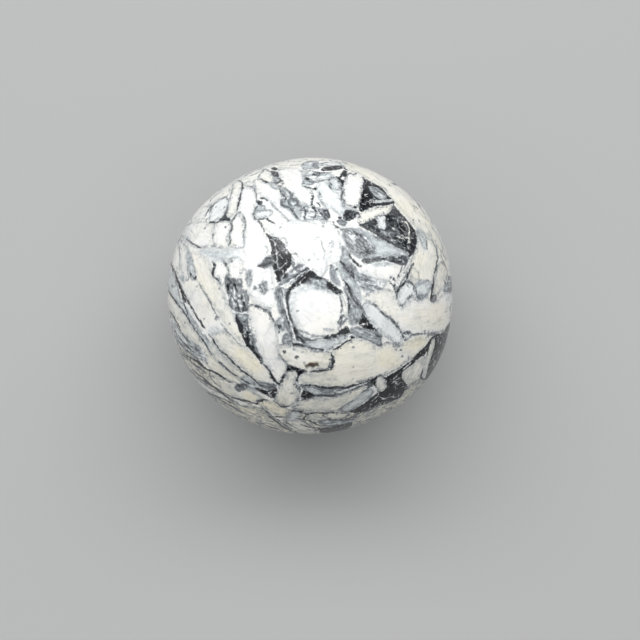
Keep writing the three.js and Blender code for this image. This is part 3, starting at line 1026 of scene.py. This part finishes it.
@dataclass
class HiddenSide:
    """Blades and pockets on the far side, in the style of the traced side, drawn with a fixed seed."""

    seed: int = 20
    sheaves: int = 15
    blade_length: tuple[float, float] = (9.0, 27.0)
    blade_width: tuple[float, float] = (2.8, 7.2)
    shares: tuple[tuple[Mineral, float], ...] = (
        (SNOW, 0.1), (MILK, 0.3), (CREAM, 0.22), (ICE, 0.14), (FROST, 0.12), (HONEY, 0.04), (PUMICE, 0.05),
        (STEEL, 0.03))
    ragged: tuple[float, float] = (0.78, 1.1)
    bow: float = 0.12
    pocket_breadth: float = 0.7
    underside: float = -0.05
    view_edge: float = math.radians(84.5)
    low_rim_edge: float = math.radians(72.0)
    rim_outer_edge: float = math.radians(106.0)
    beside_rim: float = math.radians(99.0)
    rounds: int = 5
    tries: int = 420
    pockets: int = 16
    pocket_round: int = 2
    lean: float = 0.2
    seam: tuple[float, float] = (0.45, 0.95)
    rim_shortening: float = 0.7
    first_number: int = 200
    overlap: float = 0.02
    rim_overlap: float = 0.15
    rim_height: int = 2

    def __post_init__(self) -> None:
        """Starts the draw and places the sheaves."""
        self.random = np.random.RandomState(self.seed)
        self.groups = []
        for middle, other in zip(self.directions(self.sheaves), self.directions(self.sheaves)):
            axis = np.cross(middle, other)
            self.groups.append(Sheaf(middle, axis / np.linalg.norm(axis)))

    def directions(self, count: int) -> Points:
        """Unit directions spread at random over the whole ball."""
        way = self.random.normal(size=(count, 3))
        return way / np.linalg.norm(way, axis=1, keepdims=True)

    def mineral(self) -> Mineral:
        """What one blade is made of, in the shares that the traced side has."""
        kinds, shares = zip(*self.shares)
        return kinds[self.random.choice(len(kinds), p=shares)]

    def blade(self, length: float, width: float) -> Points:
        """One blade's outline about its own middle, along x.

        Args:
            length: from tip to tip.
            width: at its widest.

        Returns:
            The outline's points, in millimetres.
        """
        shares = np.array([-1.0, -0.86, -0.5, 0.0, 0.5, 0.86, 1.0])
        blunt = self.random.uniform(0.35, 0.85, 2)
        profile = np.array([0.0, blunt[0], 0.9, 1.0, 0.9, blunt[1], 0.0])
        upper = profile * self.random.uniform(*self.ragged, 7)
        lower = profile * self.random.uniform(*self.ragged, 7)
        bow = self.random.uniform(-self.bow, self.bow) * length
        x = shares * length / 2
        curve = bow * (shares**2 - 0.4)
        top = np.stack([x, curve + upper * width / 2], 1)
        bottom = np.stack([x, curve - lower * width / 2], 1)[::-1]
        return np.concatenate([top, bottom[1:-1]])

    def pocket(self, size: float) -> Points:
        """One ragged pocket's outline about its own middle.

        Args:
            size: how far its farthest corner is, in millimetres.

        Returns:
            The outline's points.
        """
        corners = self.random.randint(5, 8)
        shift = self.random.uniform(0, 2 * math.pi, corners) * 0.35
        turn = np.sort(shift + np.arange(corners) * 2 * math.pi / corners)
        reach = size * self.random.uniform(0.45, 1.0, corners)
        return np.stack([reach * np.cos(turn), reach * self.pocket_breadth * np.sin(turn)], 1)

    def chart_at(self, middle: Points, lean: float) -> Chart:
        """The map round one place, with x along the sheaf's growth.

        Args:
            middle: the place's direction.
            lean: how far the blade leans from its sheaf, in radians.

        Returns:
            The chart.
        """
        group = max(self.groups, key=lambda g: float(g.middle @ middle))
        right = group.axis - middle * float(group.axis @ middle)
        right = right / np.linalg.norm(right)
        up = np.cross(middle, right)
        return Chart(tuple(middle), tuple(right * math.cos(lean) + up * math.sin(lean)),
                     tuple(up * math.cos(lean) - right * math.sin(lean)))

    def nearest_allowed(self, middle: Points, edge_only: bool) -> float:
        """How near the line of sight a blade may come: nearer on the underside's rim, which is seen least."""
        return self.low_rim_edge if edge_only and middle[2] < self.underside else self.view_edge

    def paint(self, face: Face, back: Points, edge_only: bool) -> int:
        """Lays the far side's blades and pockets.

        Args:
            face: the pattern to paint on.
            back: the direction to the camera.
            edge_only: whether only blades just past the rim are laid, over the traced ground's edge.

        Returns:
            How many were laid.
        """
        angle = np.arccos(np.clip(face.way @ back, -1, 1))
        laid = 0
        for step in range(1 if edge_only else self.rounds):
            for attempt in range(self.tries * (2 if edge_only else 1)):
                middle = self.directions(1)[0]
                away = math.acos(float(np.clip(middle @ back, -1, 1)))
                length = self.random.uniform(*self.blade_length) * (self.rim_shortening if edge_only else 1.0)
                width = self.random.uniform(*self.blade_width) * (0.6 + 0.4 * length / self.blade_length[1])
                kind, lean = self.mineral(), self.random.normal() * self.lean
                is_pocket = step == self.pocket_round and attempt < self.pockets
                outline = self.pocket(width * 1.1) if is_pocket else self.blade(length, width)
                edge = self.nearest_allowed(middle, edge_only)
                if away < edge or (edge_only and away > self.rim_outer_edge):
                    continue
                chart = self.chart_at(middle, lean)
                line = rounded(outline, True)
                near = np.nonzero(face.way @ middle > math.cos(length / Ball.mean_radius))[0]
                at = chart.flatten(face.way[near])
                covered = inside(at, line)
                if not covered.any() or angle[near[covered]].min() < edge:
                    continue
                if self.crowded(face, near[covered], angle, step, edge_only):
                    continue
                flat = np.full((len(face.way), 2), 1e3)
                flat[near] = at
                seam = self.random.uniform(*self.seam)
                number = self.first_number + laid
                face.lay_patch(flat, line, GRAPHITE if is_pocket else kind, seam, number)
                face.edge[near[covered]] = edge_only
                laid += 1
        return laid

    def crowded(self, face: Face, covered: Points, away: Points, step: int, edge_only: bool) -> bool:
        """Whether a new blade would hide too much, or pile up too high next to the traced side.

        Args:
            face: the pattern so far.
            covered: the numbers of the vertices under the blade.
            away: every vertex's angle from the line of sight.
            step: how often the far side has been gone over before.
            edge_only: whether only blades just past the rim are laid.

        Returns:
            True if the blade is to be left out.
        """
        top = face.top[covered]
        if edge_only:
            return bool((top >= face.most_layers - 2).any() or face.edge[covered].mean() > self.rim_overlap)
        too_high = (away[covered] < self.beside_rim).any() and top.max() >= self.rim_height
        return bool((top >= step).mean() > self.overlap or too_high)


class Term:
    """A socket that takes part in arithmetic: each expression adds its Math nodes."""

    def __init__(self, finish: "Nodes", socket: bpy.types.NodeSocket) -> None:
        """Holds one output socket."""
        self.finish = finish
        self.socket = socket

    def math(self, operation: str, *others: "Term | float", clamp: bool = False) -> "Term":
        """One Math node on this value.

        Args:
            operation: the node's operation.
            others: its further inputs.
            clamp: whether the result is held between 0 and 1.

        Returns:
            The result.
        """
        values = {n: v for n, v in enumerate((self, *others))}
        node = self.finish.node("ShaderNodeMath", {"operation": operation, "use_clamp": clamp}, values)
        return Term(self.finish, node.outputs[0])

    def __add__(self, other: "Term | float") -> "Term":
        """Sum."""
        return self.math("ADD", other)

    def __sub__(self, other: "Term | float") -> "Term":
        """Difference."""
        return self.math("SUBTRACT", other)

    def __rsub__(self, other: float) -> "Term":
        """Difference from a number."""
        return self.math("MULTIPLY_ADD", -1.0, other)

    def __mul__(self, other: "Term | float") -> "Term":
        """Product."""
        return self.math("MULTIPLY", other)

    def __truediv__(self, other: "Term | float") -> "Term":
        """Quotient."""
        return self.math("DIVIDE", other)

    __radd__ = __add__
    __rmul__ = __mul__

    def unit(self) -> "Term":
        """Held between 0 and 1."""
        return self.math("ADD", 0.0, clamp=True)

    def size(self) -> "Term":
        """Without its sign."""
        return self.math("ABSOLUTE")

    def larger(self, other: "Term | float") -> "Term":
        """The larger of the two."""
        return self.math("MAXIMUM", other)

    def toward(self, other: "Term | float", share: "Term | float") -> "Term":
        """A blend from this value to another."""
        return self + (other - self if isinstance(other, Term) else float(other) - self) * share


class Nodes:
    """Builds one material's nodes."""

    def __init__(self, name: str) -> None:
        """Starts an empty material.

        Args:
            name: the material's name.
        """
        self.material = bpy.data.materials.new(name)
        self.material.use_nodes = True
        self.tree = self.material.node_tree
        self.tree.nodes.clear()

    def node(self, kind: str, settings: dict[str, object] | None = None,
             inputs: dict[str | int, object] | None = None) -> bpy.types.Node:
        """Adds one node.

        Args:
            kind: the node's type.
            settings: properties, set first; "stops" are a ramp's (place, colour) pairs.
            inputs: a value, a Term or a socket for each input, by name or number.

        Returns:
            The node.
        """
        made = self.tree.nodes.new(kind)
        for key, value in (settings or {}).items():
            if key == "stops":
                ramp = made.color_ramp
                while len(ramp.elements) < len(value):
                    ramp.elements.new(1.0)
                for element, (place, colour) in zip(ramp.elements, value):
                    element.position, element.color = place, (*colour, 1.0)
            else:
                setattr(made, key, value)
        for key, value in (inputs or {}).items():
            socket = value.socket if isinstance(value, Term) else value
            if isinstance(socket, bpy.types.NodeSocket):
                self.tree.links.new(socket, made.inputs[key])
            else:
                made.inputs[key].default_value = socket
        return made

    def term(self, node: bpy.types.Node, output: str | int = 0) -> Term:
        """One output as a value to reckon with."""
        return Term(self, node.outputs[output])

    def parts(self, colour: bpy.types.NodeSocket) -> Iterator[Term]:
        """The three parts of a colour or vector."""
        split = self.node("ShaderNodeSeparateXYZ", None, {0: colour})
        return (Term(self, split.outputs[n]) for n in range(3))

    def vector(self, operation: str, *values: object) -> bpy.types.NodeSocket:
        """What one Vector Math node makes of its inputs."""
        return self.node("ShaderNodeVectorMath", {"operation": operation}, dict(enumerate(values))).outputs[0]

    def stirred(self, place: bpy.types.NodeSocket, scale: float, detail: float,
                amount: float) -> bpy.types.NodeSocket:
        """A place that noise moves about by up to an amount."""
        bent = self.node("ShaderNodeTexNoise", None, {"Vector": place, "Scale": scale, "Detail": detail})
        return self.vector("MULTIPLY_ADD", bent.outputs["Color"], (amount,) * 3, place)

    def cells(self, feature: str, place: bpy.types.NodeSocket, scale: float) -> bpy.types.Node:
        """Cells of random shape."""
        return self.node("ShaderNodeTexVoronoi", {"feature": feature}, {"Vector": place, "Scale": scale})

    def noise(self, place: bpy.types.NodeSocket, scale: float, detail: float = 2.0,
              roughness: float = 0.5) -> Term:
        """Cloudy noise about 0: scale is in features to the millimetre."""
        made = self.node("ShaderNodeTexNoise", {"noise_dimensions": "3D"},
                         {"Vector": place, "Scale": scale, "Detail": detail, "Roughness": roughness})
        return self.term(made, "Fac") - 0.5

    def smooth(self, value: Term, low: float, high: float) -> Term:
        """A smooth step from 0 at low to 1 at high."""
        made = self.node("ShaderNodeMapRange", {"interpolation_type": "SMOOTHSTEP"},
                         {"Value": value, "From Min": low, "From Max": high})
        return self.term(made, "Result")

    def mix(self, share: Term | float, first: object, second: object,
            blend: str = "MIX") -> bpy.types.NodeSocket:
        """Blends two colours.

        Args:
            share: how much of the second.
            first: a colour or a socket.
            second: a colour or a socket.
            blend: the way they mix.

        Returns:
            The mixed colour's socket.
        """
        made = self.node("ShaderNodeMix", {"data_type": "RGBA", "blend_type": blend},
                         {0: share, 6: first, 7: second})
        return made.outputs[2]


@dataclass(frozen=True)
class PolishedPinolite:
    """The polished face: colours by tone, seams, veinlets, grain and a soft wet-looking gloss."""

    layers: int
    strokes: int
    tones: tuple[tuple[float, tuple[float, float, float]], ...] = (
        (0.0, (0.005, 0.006, 0.008)),
        (0.22, (0.030, 0.032, 0.036)),
        (0.45, (0.145, 0.155, 0.163)),
        (0.62, (0.300, 0.320, 0.335)),
        (0.78, (0.520, 0.545, 0.550)),
        (0.90, (0.735, 0.745, 0.735)),
        (1.0, (0.880, 0.880, 0.865)),
    )
    honey: tuple[float, float, float] = (1.0, 0.945, 0.79)
    blue: tuple[float, float, float] = (0.92, 0.975, 1.0)
    rust: tuple[float, float, float] = (0.075, 0.045, 0.025)
    seam_width: float = 0.22
    seam_softness: float = 0.22
    seam_darkness: float = 0.86
    line_softness: float = 0.30
    calcite_tone: float = 0.98
    ink_tone: float = 0.20
    blade_turn: tuple[float, float, float] = (0.5, 0.35, 0.9)
    fibre_scale: tuple[float, float, float] = (0.3, 1.5, 1.0)
    blade_scale: tuple[float, float, float] = (0.075, 0.26, 0.26)
    ball_middle: tuple[float, float, float] = (0.0, 0.0, Ball.full_height / 2 - Ball.flat_depth)
    ior: float = 1.34
    coat: float = 0.1
    coat_roughness: float = 0.1
    bump_strength: float = 0.08
    bump_height: float = 0.05 * MM

    def build(self) -> bpy.types.Material:
        """Makes the material.

        Returns:
            The finished material.
        """
        n = Nodes(SLOT)
        place = n.node("ShaderNodeTexCoord").outputs["Object"]
        spot = n.vector("MULTIPLY", place, (1 / MM,) * 3)
        broad = n.noise(spot, 0.75, 2.0)
        fine = n.noise(spot, 2.6, 2.0)
        grit = n.noise(spot, 5.5, 1.0)
        wander = broad * 0.85 + fine * 1.0 + grit * 0.75
        beads = n.noise(spot, 1.1, 1.0)
        presence = 0.2 + 0.8 * n.smooth(n.noise(spot, 0.45, 3.0), -0.11, 0.10)
        grain = n.node("ShaderNodeAttribute", {"attribute_name": "grain"}).outputs["Vector"]
        kind = n.node("ShaderNodeAttribute", {"attribute_name": "finish"}).outputs["Vector"]
        warmth, mottling, veinlets = n.parts(kind)
        tone, seams, depth = self.stack(n, wander, fine * 1.5 + grit * 1.3, beads, presence)
        tone = self.mottle(n, tone, mottling, spot, grain)
        tone = self.veined(n, tone, veinlets, spot)
        tone = self.crazed(n, tone, spot)
        margin = n.smooth(depth, 1.7, 0.0)
        tone = tone - margin * (0.03 + 0.62 * (broad + fine * 0.7 + 0.05).unit()) * n.smooth(tone, 0.4, 0.8)
        tone = tone * (1.0 - seams * self.seam_darkness)
        tone = self.drawn(n, tone, wander, beads)
        colour = n.node("ShaderNodeValToRGB", {"stops": self.tones}, {0: tone}).outputs[0]
        patchy = n.noise(spot, 0.11, 3.0)
        warm = (warmth + patchy * 1.3).unit() * n.smooth(tone, 0.5, 0.9)
        cool = (warmth * -1.0 - patchy * 0.8).unit()
        colour = n.mix(warm, colour, n.mix(1.0, colour, (*self.honey, 1.0), "MULTIPLY"))
        colour = n.mix(cool, colour, n.mix(1.0, colour, (*self.blue, 1.0), "MULTIPLY"))
        rusty = (warmth - 1.0).unit() * (0.75 + fine * 2.0).unit()
        colour = n.mix(rusty, colour, (*self.rust, 1.0))
        rough = (0.235 - tone * 0.06 + fine * 0.10).unit()
        bump = n.node("ShaderNodeBump", None,
                      {"Strength": self.bump_strength, "Distance": self.bump_height, "Height": fine})
        shader = n.node("ShaderNodeBsdfPrincipled", None, {
            "Base Color": colour, "Roughness": rough, "Normal": bump.outputs[0], "IOR": self.ior,
            "Coat Weight": self.coat, "Coat Roughness": self.coat_roughness})
        n.node("ShaderNodeOutputMaterial", None, {"Surface": shader.outputs[0]})
        return n.material

    def stack(self, n: Nodes, wander: Term, grit: Term, beads: Term,
              presence: Term) -> tuple[Term, Term, Term]:
        """Lays the layers' patches over each other.

        Args:
            n: the material's nodes.
            wander: how far an outline strays, in millimetres.
            grit: noise that breaks the seams' sides into grains.
            beads: noise that thickens and thins the seams.
            presence: how much of the seams there is from place to place.

        Returns:
            The tone, the seams' darkness and the depth inside the outline.
        """
        tone, seams, depth = None, None, None
        for layer in range(self.layers):
            made = n.node("ShaderNodeAttribute", {"attribute_name": f"layer_{layer}"})
            distance, patch_tone, seam = n.parts(made.outputs["Vector"])
            blur = n.term(made, "Alpha")
            away = distance + wander
            cover = (0.5 - away / blur).unit()
            width = self.seam_width * (0.7 + beads * 3.0)
            core = (0.5 + (width - away.size()) / self.seam_softness).unit() * 0.8
            grains = n.smooth(grit - away.size() * 0.95, -0.66, 0.14) * 0.8
            line = core.larger(grains) * presence * seam
            if tone is None:
                tone, seams, depth = patch_tone * cover, line, away * -1.0 * cover
                continue
            tone = tone.toward(patch_tone, cover)
            seams = (seams * (1.0 - cover)).larger(line)
            depth = depth.toward(away * -1.0, cover * (seam * 50.0).unit())
        return tone, seams, depth

    def drawn(self, n: Nodes, tone: Term, wander: Term, beads: Term) -> Term:
        """Draws the thin lines over the patches.

        Args:
            n: the material's nodes.
            tone: the patches' tone.
            wander: how far a line strays, in millimetres.
            beads: noise that thickens and thins the lines.

        Returns:
            The tone with its lines.
        """
        for number in range(self.strokes):
            made = n.node("ShaderNodeAttribute", {"attribute_name": f"stroke_{number}"})
            offset, half, strength = n.parts(made.outputs["Vector"])
            ink = n.term(made, "Alpha")
            away = (offset + wander * 0.9).size()
            line = (0.5 + (half * (0.9 + beads * 3.0) - away) / self.line_softness).unit() * strength
            target = (1.0 - ink) * (self.calcite_tone - self.ink_tone) + self.ink_tone
            tone = tone.toward(target, line)
        return tone

    def mottle(self, n: Nodes, tone: Term, mottling: Term, spot: bpy.types.NodeSocket,
               grain: bpy.types.NodeSocket) -> Term:
        """Adds grains and fibres to the tone.

        Args:
            n: the material's nodes.
            tone: the patches' plain tone.
            mottling: how mottled each place is.
            spot: the place on the stone, in millimetres.
            grain: the place along and across the crystal.

        Returns:
            The mottled tone.
        """
        clouds = n.noise(spot, 1.3, 5.0, 0.60)
        drifts = n.noise(spot, 0.45, 3.0, 0.55)
        fibres = n.noise(n.vector("MULTIPLY", grain, self.fibre_scale), 1.0, 3.0, 0.6)
        slow = n.noise(spot, 0.16, 2.0)
        busy = mottling * (clouds * 0.85 + fibres * 1.1 + drifts * 0.6)
        calm = fibres * 0.14 + slow * 0.20 + drifts * 0.12 + clouds * 0.06
        dots = n.smooth(n.term(n.cells("F1", spot, 0.24), "Distance") + clouds * 0.45, 0.12, 0.03)
        return tone + busy + calm * n.smooth(tone, 0.1, 0.6) - dots * 0.3 * n.smooth(tone, 0.5, 0.9)

    def crazed(self, n: Nodes, tone: Term, spot: bpy.types.NodeSocket) -> Term:
        """Parts the plain areas into faint blades, more of them past the traced side.

        Args:
            n: the material's nodes.
            tone: the tone so far.
            spot: the place on the stone, in millimetres.

        Returns:
            The tone with its faint blades.
        """
        way = n.vector("NORMALIZE", n.vector("SUBTRACT", spot, self.ball_middle))
        facing = n.node("ShaderNodeVectorMath", {"operation": "DOT_PRODUCT"},
                        {0: way, 1: tuple(Viewpoint().back)})
        hidden = n.smooth(n.term(facing, "Value"), 0.55, 0.12)
        turned = n.node("ShaderNodeVectorRotate", {"rotation_type": "EULER_XYZ"},
                        {"Vector": n.stirred(spot, 0.35, 3.0, 3.0), "Rotation": self.blade_turn})
        long = n.vector("MULTIPLY", turned.outputs[0], self.blade_scale)
        edges = n.term(n.cells("DISTANCE_TO_EDGE", long, 1.0), "Distance")
        shade, _, _ = n.parts(n.cells("F1", long, 1.0).outputs["Color"])
        broken = n.smooth(n.noise(spot, 0.5, 2.0), -0.06, 0.10)
        lines = n.smooth(edges, 0.075, 0.015) * broken
        pale = n.smooth(tone, 0.5, 0.8)
        return tone + ((shade - 0.6) * 0.16 * hidden - lines * (0.06 + 0.44 * hidden)) * pale

    def veined(self, n: Nodes, tone: Term, veinlets: Term, spot: bpy.types.NodeSocket) -> Term:
        """Adds the white veinlets and flecks that run through the black pockets.

        Args:
            n: the material's nodes.
            tone: the tone so far.
            veinlets: how many veinlets each place has.
            spot: the place on the stone, in millimetres.

        Returns:
            The tone with its veinlets.
        """
        edge = n.term(n.cells("DISTANCE_TO_EDGE", n.stirred(spot, 0.7, 5.0, 2.2), 0.5), "Distance")
        patchy = n.noise(spot, 0.8, 1.0)
        lines = n.smooth(edge, 0.06, 0.01) * n.smooth(patchy, -0.10, 0.08)
        flecks = n.smooth(n.noise(spot, 2.4, 3.0), 0.10, 0.26)
        return tone + (lines * 1.1 + flecks * 0.25) * veinlets


@dataclass
class PinoliteStone:
    """The stone: its fine mesh, its pattern and its finish."""

    ball: Ball = field(default_factory=Ball)
    viewpoint: Viewpoint = field(default_factory=Viewpoint)
    ground_edge: float = math.radians(89)
    ground_waver: float = 0.03
    ground_waves: tuple[tuple[int, int], ...] = ((5, 1), (9, 0))
    ground_points: int = 96
    ground_seam: float = 0.6

    def pattern(self, way: Points) -> Face:
        """Paints the whole pattern.

        Args:
            way: the vertices' directions.

        Returns:
            The painted face.
        """
        face = Face(way)
        at = self.viewpoint.chart().flatten(way)
        turn = np.linspace(0, 2 * math.pi, self.ground_points, endpoint=False)
        edge = self.ground_edge
        for waves, phase in self.ground_waves:
            edge = edge + self.ground_waver * np.sin(waves * turn + phase)
        ground = Ball.mean_radius * edge[:, None] * np.stack([np.cos(turn), np.sin(turn)], 1)
        face.lay_patch(at, ground, MILK, self.ground_seam, 1)
        hidden = HiddenSide()
        log.info("far side: %d blades and pockets", hidden.paint(face, self.viewpoint.back, False))
        pixel = self.viewpoint.pixel_size()
        for number, mark in enumerate(TRACED):
            points = self.viewpoint.trace(mark.trace, self.ball)
            if isinstance(mark, Patch):
                face.lay_patch(at, rounded(points, True), mark.mineral, mark.seam, number, mark.blur)
            elif isinstance(mark, Stroke):
                face.lay_stroke(at, rounded(points, False), mark, mark.width * pixel)
            else:
                face.lay_dots(at, points, mark.radius * pixel, mark.mineral, number)
        log.info("traced side: %d marks", len(TRACED))
        log.info("rim: %d blades", hidden.paint(face, self.viewpoint.back, True))
        log.info("layers %d, stroke layers %d", len(face.layers), len(face.strokes))
        return face

    def build(self) -> bpy.types.Object:
        """Makes the stone's object.

        Returns:
            The object, in metres, in the place of the CAD solid.
        """
        way, triangles = self.ball.mesh()
        log.info("mesh: %d vertices, %d triangles", len(way), len(triangles))
        face = self.pattern(way)
        face.soften(triangles)
        points = way * self.ball.radius(way)[:, None]
        low, high = (np.array(corner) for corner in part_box(NODE))
        span = points.max(0) - points.min(0)
        points = low + (points - points.min(0)) / span * (high - low)
        mesh = bpy.data.meshes.new("pinolite")
        mesh.from_pydata(points.tolist(), [], triangles.tolist())
        mesh.polygons.foreach_set("use_smooth", np.ones(len(triangles), bool))
        self.store(mesh, face)
        self.unwrap(mesh, way, triangles)
        mesh.update()
        stone = bpy.data.objects.new("pinolite", mesh)
        bpy.context.collection.objects.link(stone)
        mesh.materials.append(PolishedPinolite(len(face.layers), len(face.strokes)).build())
        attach(stone, "root")
        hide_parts(NODE)
        return stone

    @staticmethod
    def store(mesh: bpy.types.Mesh, face: Face) -> None:
        """Writes the pattern's distances to the mesh.

        Args:
            mesh: the stone's mesh.
            face: the painted face.
        """
        named = [(f"layer_{n}", stored) for n, stored in enumerate(face.layers)]
        named += [(f"stroke_{n}", stored) for n, stored in enumerate(face.strokes)]
        named += [("grain", face.grain), ("finish", face.finish)]
        for name, values in named:
            kind, key = ("FLOAT_COLOR", "color") if values.shape[1] == 4 else ("FLOAT_VECTOR", "vector")
            made = mesh.attributes.new(name, kind, "POINT")
            made.data.foreach_set(key, values.astype(np.float32).ravel())

    @staticmethod
    def unwrap(mesh: bpy.types.Mesh, way: Points, triangles: Points) -> None:
        """Folds the ball out to a square: the crown in the middle, the flat at the corners.

        Args:
            mesh: the stone's mesh.
            way: the vertices' directions.
            triangles: the triangles' vertex numbers.
        """
        corner = way[triangles]
        side = np.where(corner.mean(1) >= 0, 1.0, -1.0)[:, None, :]
        share = corner / np.abs(corner).sum(2, keepdims=True)
        under = side[:, :, 2] < 0
        x, y = share[..., 0], share[..., 1]
        sx, sy = side[..., 0], side[..., 1]
        folded_x = np.where(under, sx * (1 - y * sy), x)
        folded_y = np.where(under, sy * (1 - x * sx), y)
        margin = 0.99
        flat = 0.5 + 0.5 * margin * np.stack([folded_x, folded_y], 2)
        layer = mesh.uv_layers.new(name="OFBake")
        layer.uv.foreach_set("vector", flat.reshape(-1).astype(np.float32))


@dataclass(frozen=True)
class Studio:
    """A plain pale floor and soft light, as from a wide window past the top of the picture."""

    floor_size: float = 6.0
    floor_tone: float = 0.37
    floor_roughness: float = 0.8
    window_power: float = 11.0
    window_size: tuple[float, float] = (2.4, 0.5)
    window_place: tuple[float, float, float] = (0.0, 0.55, 0.97)
    ceiling_power: float = 74.0
    ceiling_size: tuple[float, float] = (4.5, 4.5)
    ceiling_place: tuple[float, float, float] = (-0.15, 0.0, 2.0)
    aim: tuple[float, float, float] = (0.0, 0.0, 0.03)
    sky: float = 0.15
    sky_colour: tuple[float, float, float, float] = (0.93, 0.96, 1.0, 1.0)

    def build(self) -> None:
        """Makes the floor, the lights and the colour handling."""
        self.floor()
        self.lamp("window", self.window_place, self.window_size, self.window_power)
        self.lamp("ceiling", self.ceiling_place, self.ceiling_size, self.ceiling_power)
        world = bpy.data.worlds.new("studio")
        bpy.context.scene.world = world
        world.use_nodes = True
        backdrop = world.node_tree.nodes["Background"]
        backdrop.inputs["Color"].default_value = self.sky_colour
        backdrop.inputs["Strength"].default_value = self.sky
        view = bpy.context.scene.view_settings
        view.view_transform, view.look = "Standard", "None"

    def floor(self) -> None:
        """Makes the floor."""
        half = self.floor_size / 2
        mesh = bpy.data.meshes.new("floor")
        square = [(x * half, y * half, 0) for x, y in ((-1, -1), (1, -1), (1, 1), (-1, 1))]
        mesh.from_pydata(square, [], [(0, 1, 2, 3)])
        n = Nodes("floor")
        grey = (self.floor_tone,) * 3
        shader = n.node("ShaderNodeBsdfPrincipled", None,
                        {"Base Color": (*grey, 1.0), "Roughness": self.floor_roughness})
        n.node("ShaderNodeOutputMaterial", None, {"Surface": shader.outputs[0]})
        mesh.materials.append(n.material)
        floor = bpy.data.objects.new("floor", mesh)
        bpy.context.collection.objects.link(floor)

    def lamp(self, name: str, place: tuple[float, float, float], size: tuple[float, float],
             power: float) -> None:
        """Hangs one soft rectangular light that faces the stone.

        Args:
            name: the light's name.
            place: where its middle is, in metres.
            size: its width and height, in metres.
            power: in watts.
        """
        light = bpy.data.lights.new(name, "AREA")
        light.shape = "RECTANGLE"
        light.size, light.size_y = size
        light.energy = power
        lamp = bpy.data.objects.new(name, light)
        lamp.location = place
        aim = Vector(self.aim) - lamp.location
        lamp.rotation_euler = aim.to_track_quat("-Z", "Y").to_euler()
        bpy.context.collection.objects.link(lamp)


def corners(box: Iterable[Vector]) -> list[list[float]]:
    """A box's corners as plain lists of numbers."""
    return [list(map(float, corner)) for corner in box]


def main() -> None:
    """Builds the stone, its camera and its studio in order."""
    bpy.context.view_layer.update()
    low, high = (Vector(corner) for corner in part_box(NODE))
    middle = (low + high) / 2
    middle.z = high.z - Ball.full_height / 2 * MM
    stone = PinoliteStone()
    stone.viewpoint.place_camera(middle)
    log.info("camera set")
    made = stone.build()
    log.info("stone: %s", made.name)
    Studio().build()
    log.info("studio set")


if __name__ == "__main__":
    logging.basicConfig(level=logging.INFO, format="%(name)s: %(message)s")
    main()
